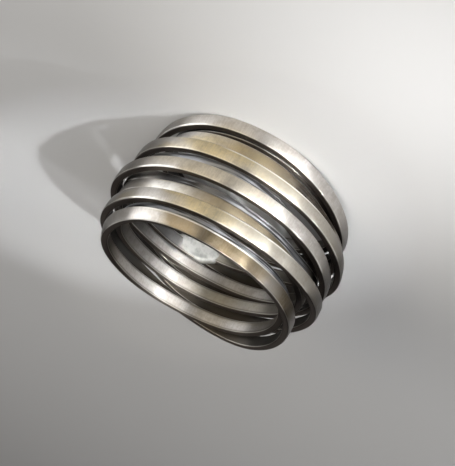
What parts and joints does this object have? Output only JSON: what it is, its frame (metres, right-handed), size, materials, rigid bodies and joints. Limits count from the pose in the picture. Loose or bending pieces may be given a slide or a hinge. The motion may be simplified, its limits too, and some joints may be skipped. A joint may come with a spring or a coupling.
{
  "type": "wound wire finger ring",
  "caption": "Wide finger ring wound in crossing layers from a continuous flat titanium wire whose ends are fused inside the band.",
  "frame": {"origin": "centre of the finger hole, in the plane that the lowest turn lies on", "axes": "+Z along the finger hole, upwards from the lower rim; +Y towards the weld's side"},
  "size_m": [0.0271, 0.0253, 0.0153],
  "materials": {
    "titanium": "satin brushed titanium with polished edges"
  },
  "bodies": {
    "root": {"wound_ring": "titanium"}
  },
  "joints": []
}
